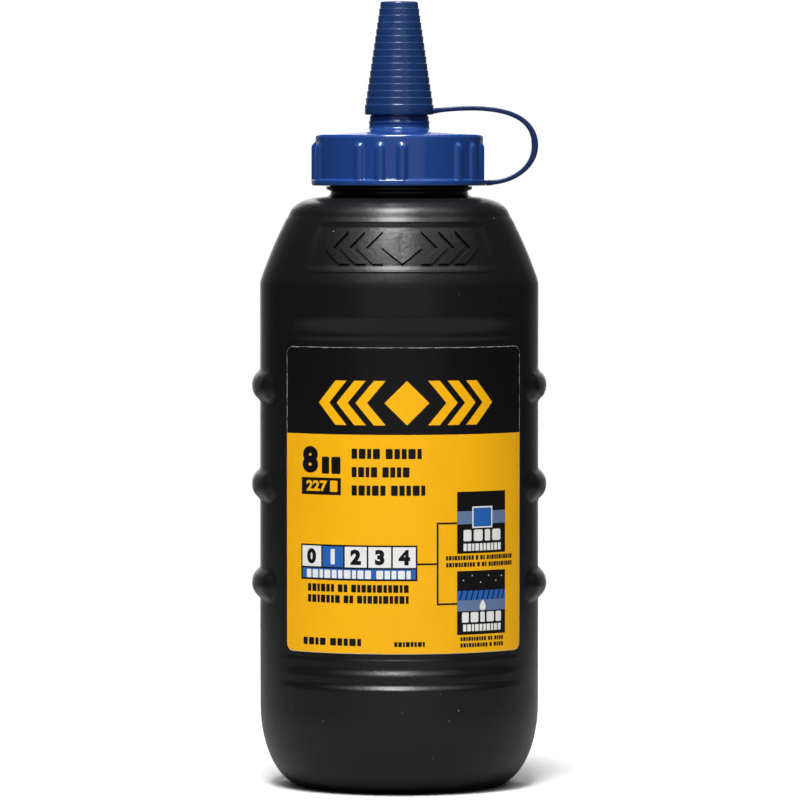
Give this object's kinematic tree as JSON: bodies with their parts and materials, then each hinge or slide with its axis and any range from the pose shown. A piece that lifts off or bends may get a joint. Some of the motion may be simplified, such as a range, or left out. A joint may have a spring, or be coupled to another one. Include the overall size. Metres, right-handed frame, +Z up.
{
  "type": "chalk powder bottle",
  "caption": "Squeeze bottle of marking chalk powder with a ribbed screw closure, a conical spout and a stepped tip cap held on a moulded strap.",
  "frame": {"origin": "centre of the bottle's foot, on the surface that it stands on", "axes": "+Z up along the bottle, -Y towards the front label, +X towards the strap"},
  "size_m": [0.0736, 0.0696, 0.1958],
  "materials": {
    "bottle_black": "satin blow-moulded polyethylene",
    "closure_blue": "glossy moulded polypropylene",
    "strap_blue": "semi-gloss flexible moulding",
    "seal_white": "foamed polyethylene",
    "label_print": "printed and varnished label stock",
    "chalk_powder": "fine matt powder"
  },
  "bodies": {
    "bottle": {"bottle": "bottle_black", "front_label": "label_print", "back_label": "label_print", "chalk_fill": "chalk_powder"},
    "seal": {"sealing_ring": "seal_white"},
    "closure": {"closure": "closure_blue", "strap_lower": "strap_blue"},
    "strap": {"strap_bend": "strap_blue"},
    "tip_cap": {"tip_cap": "closure_blue", "strap_upper": "strap_blue"}
  },
  "joints": [
    {"name": "closure_rise", "type": "slide", "parent": "bottle", "child": "seal", "axis": [0, 0, 1], "range_m": [0, 0.0106]},
    {"name": "closure_unscrew", "type": "hinge", "parent": "seal", "child": "closure", "pos_m": [0, 0, 0.15], "axis": [0, 0, 1], "range_deg": [0, 900]},
    {"name": "strap_give", "type": "slide", "parent": "closure", "child": "strap", "axis": [-0.8051, 0, 0.5932], "range_m": [0, 0.0119], "deforming": ["strap_lower"]},
    {"name": "cap_pull", "type": "slide", "parent": "strap", "child": "tip_cap", "axis": [0.4878, 0, 0.8729], "range_m": [0, 0.01947], "deforming": ["strap_upper"]}
  ],
  "couplings": [
    {"joint": "closure_rise", "follows": "closure_unscrew", "m_per_rad": 0.00067376},
    {"joint": "strap_give", "follows": "cap_pull", "ratio": 0.60594}
  ]
}
